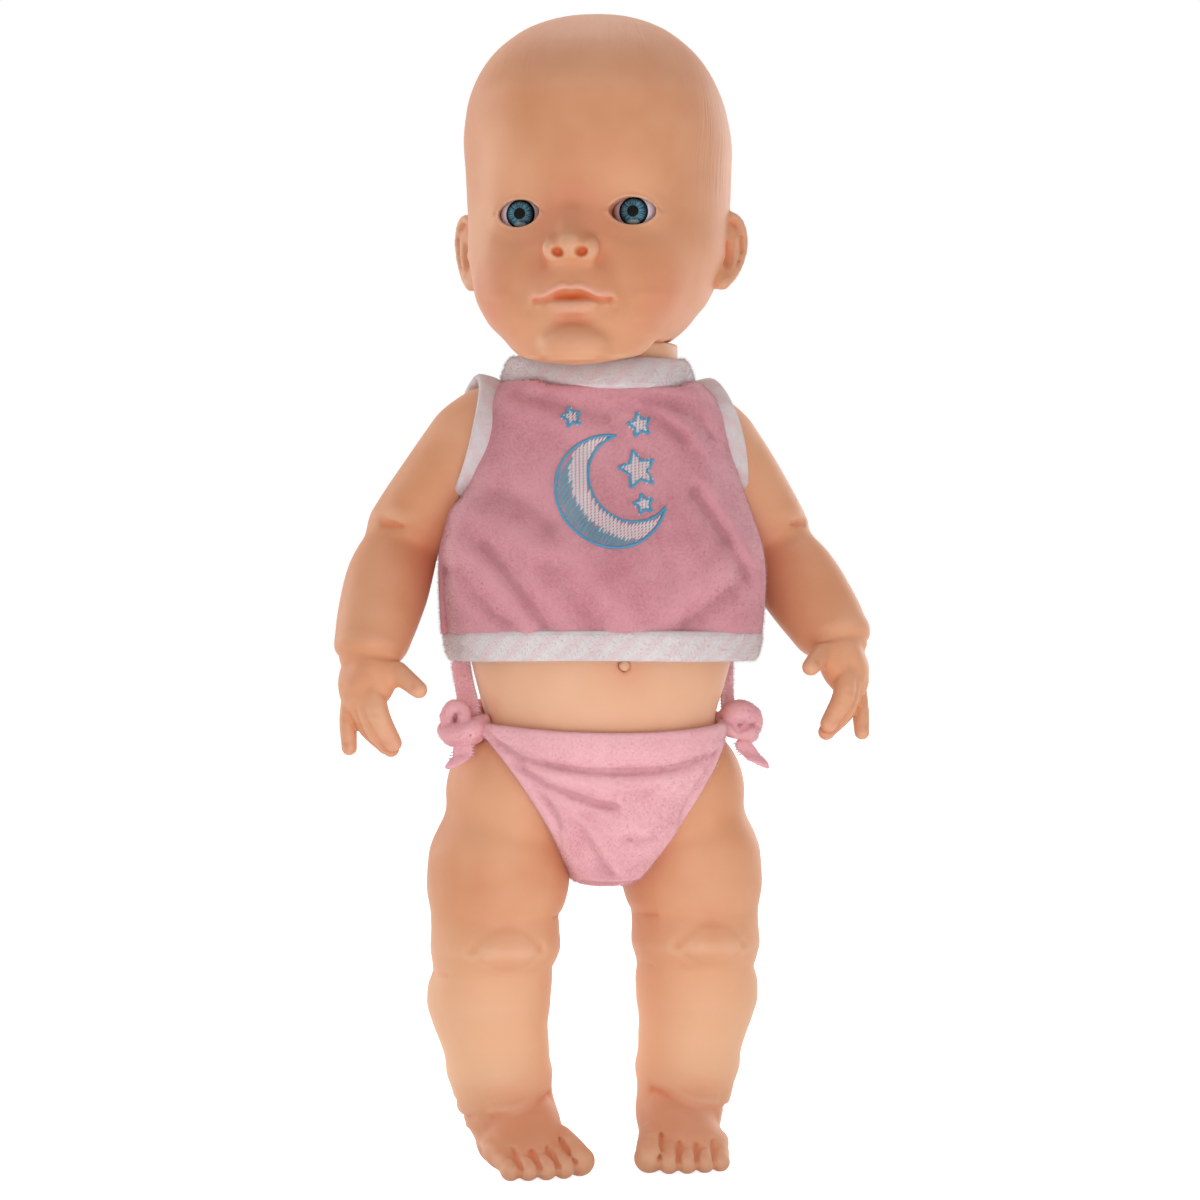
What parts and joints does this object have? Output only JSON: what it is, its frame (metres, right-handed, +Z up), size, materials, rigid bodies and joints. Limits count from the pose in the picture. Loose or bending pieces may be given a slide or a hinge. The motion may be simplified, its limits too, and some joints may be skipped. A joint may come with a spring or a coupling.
{
  "type": "interactive baby doll",
  "caption": "Standing baby doll with turning head, arms and legs, a press button in the belly, a battery box in its back, and a velour top and tied brief.",
  "frame": {"origin": "on the floor under the middle of the standing doll", "axes": "+Z up, the doll's body faces -Y, its left hand is towards +X"},
  "size_m": [0.1969, 0.1175, 0.43],
  "materials": {
    "skin": "matte",
    "hard_skin": "satin",
    "eye_white": "gloss",
    "iris": "gloss",
    "velour": "matte",
    "trim": "matte",
    "black_plastic": "matte",
    "white_plastic": "matte",
    "board": "satin",
    "steel": "brushed",
    "cell_sleeve": "gloss",
    "lead": "satin"
  },
  "bodies": {
    "torso": {"torso_front": "hard_skin", "torso_back": "hard_skin", "battery_tray": "black_plastic", "battery_door": "hard_skin", "battery_door_screw": "steel", "contact_top": "steel", "contact_bottom": "steel", "circuit_board": "board", "loudspeaker": "black_plastic", "navel_switch": "black_plastic", "power_switch_body": "black_plastic", "battery_cell_1": "cell_sleeve", "battery_cell_2": "cell_sleeve", "battery_cell_3": "cell_sleeve", "body_screw_1": "steel", "body_screw_2": "steel", "body_screw_3": "steel", "body_screw_4": "steel", "right_brief_knot": "velour", "left_brief_knot": "velour", "right_tie_tail": "velour", "left_tie_tail": "velour", "right_armhole_binding": "trim", "left_armhole_binding": "trim", "shirt": "velour", "neck_binding": "trim", "hem_binding": "trim", "brief": "velour", "back_fastener": "trim", "loudspeaker_lead": "lead", "navel_lead": "lead", "power_lead": "lead"},
    "head": {"head_shell": "skin", "right_eye_white": "eye_white", "right_iris": "iris", "left_eye_white": "eye_white", "left_iris": "iris"},
    "right_arm": {"right_arm": "skin"},
    "left_arm": {"left_arm": "skin"},
    "right_leg": {"right_leg": "skin"},
    "left_leg": {"left_leg": "skin"},
    "navel_button": {"navel_button": "hard_skin"},
    "power_knob": {"power_knob": "white_plastic"}
  },
  "joints": [
    {"name": "head_turn", "type": "hinge", "parent": "torso", "child": "head", "pos_m": [0, 0.001, 0.3], "axis": [0, 0, 1], "range_deg": [-58, 102]},
    {"name": "right_shoulder", "type": "hinge", "parent": "torso", "child": "right_arm", "pos_m": [-0.048, 0.006, 0.271], "axis": [-0.9659, 0, 0.2588], "range_deg": [-40, 110]},
    {"name": "left_shoulder", "type": "hinge", "parent": "torso", "child": "left_arm", "pos_m": [0.048, 0.006, 0.271], "axis": [-0.9659, 0, -0.2588], "range_deg": [-40, 98]},
    {"name": "right_hip", "type": "hinge", "parent": "torso", "child": "right_leg", "pos_m": [-0.029, 0.004, 0.139], "axis": [-0.8387, 0, -0.5446], "range_deg": [-20, 85], "deforming": ["right_tie_tail"]},
    {"name": "left_hip", "type": "hinge", "parent": "torso", "child": "left_leg", "pos_m": [0.029, 0.004, 0.139], "axis": [-0.8387, 0, 0.5446], "range_deg": [-20, 85], "deforming": ["left_tie_tail"]},
    {"name": "navel_press", "type": "slide", "parent": "torso", "child": "navel_button", "axis": [0, 1, 0], "range_m": [0, 0.001], "stiffness_N_per_m": 400},
    {"name": "power_slide", "type": "slide", "parent": "torso", "child": "power_knob", "axis": [1, 0, 0], "range_m": [0, 0.004]}
  ]
}
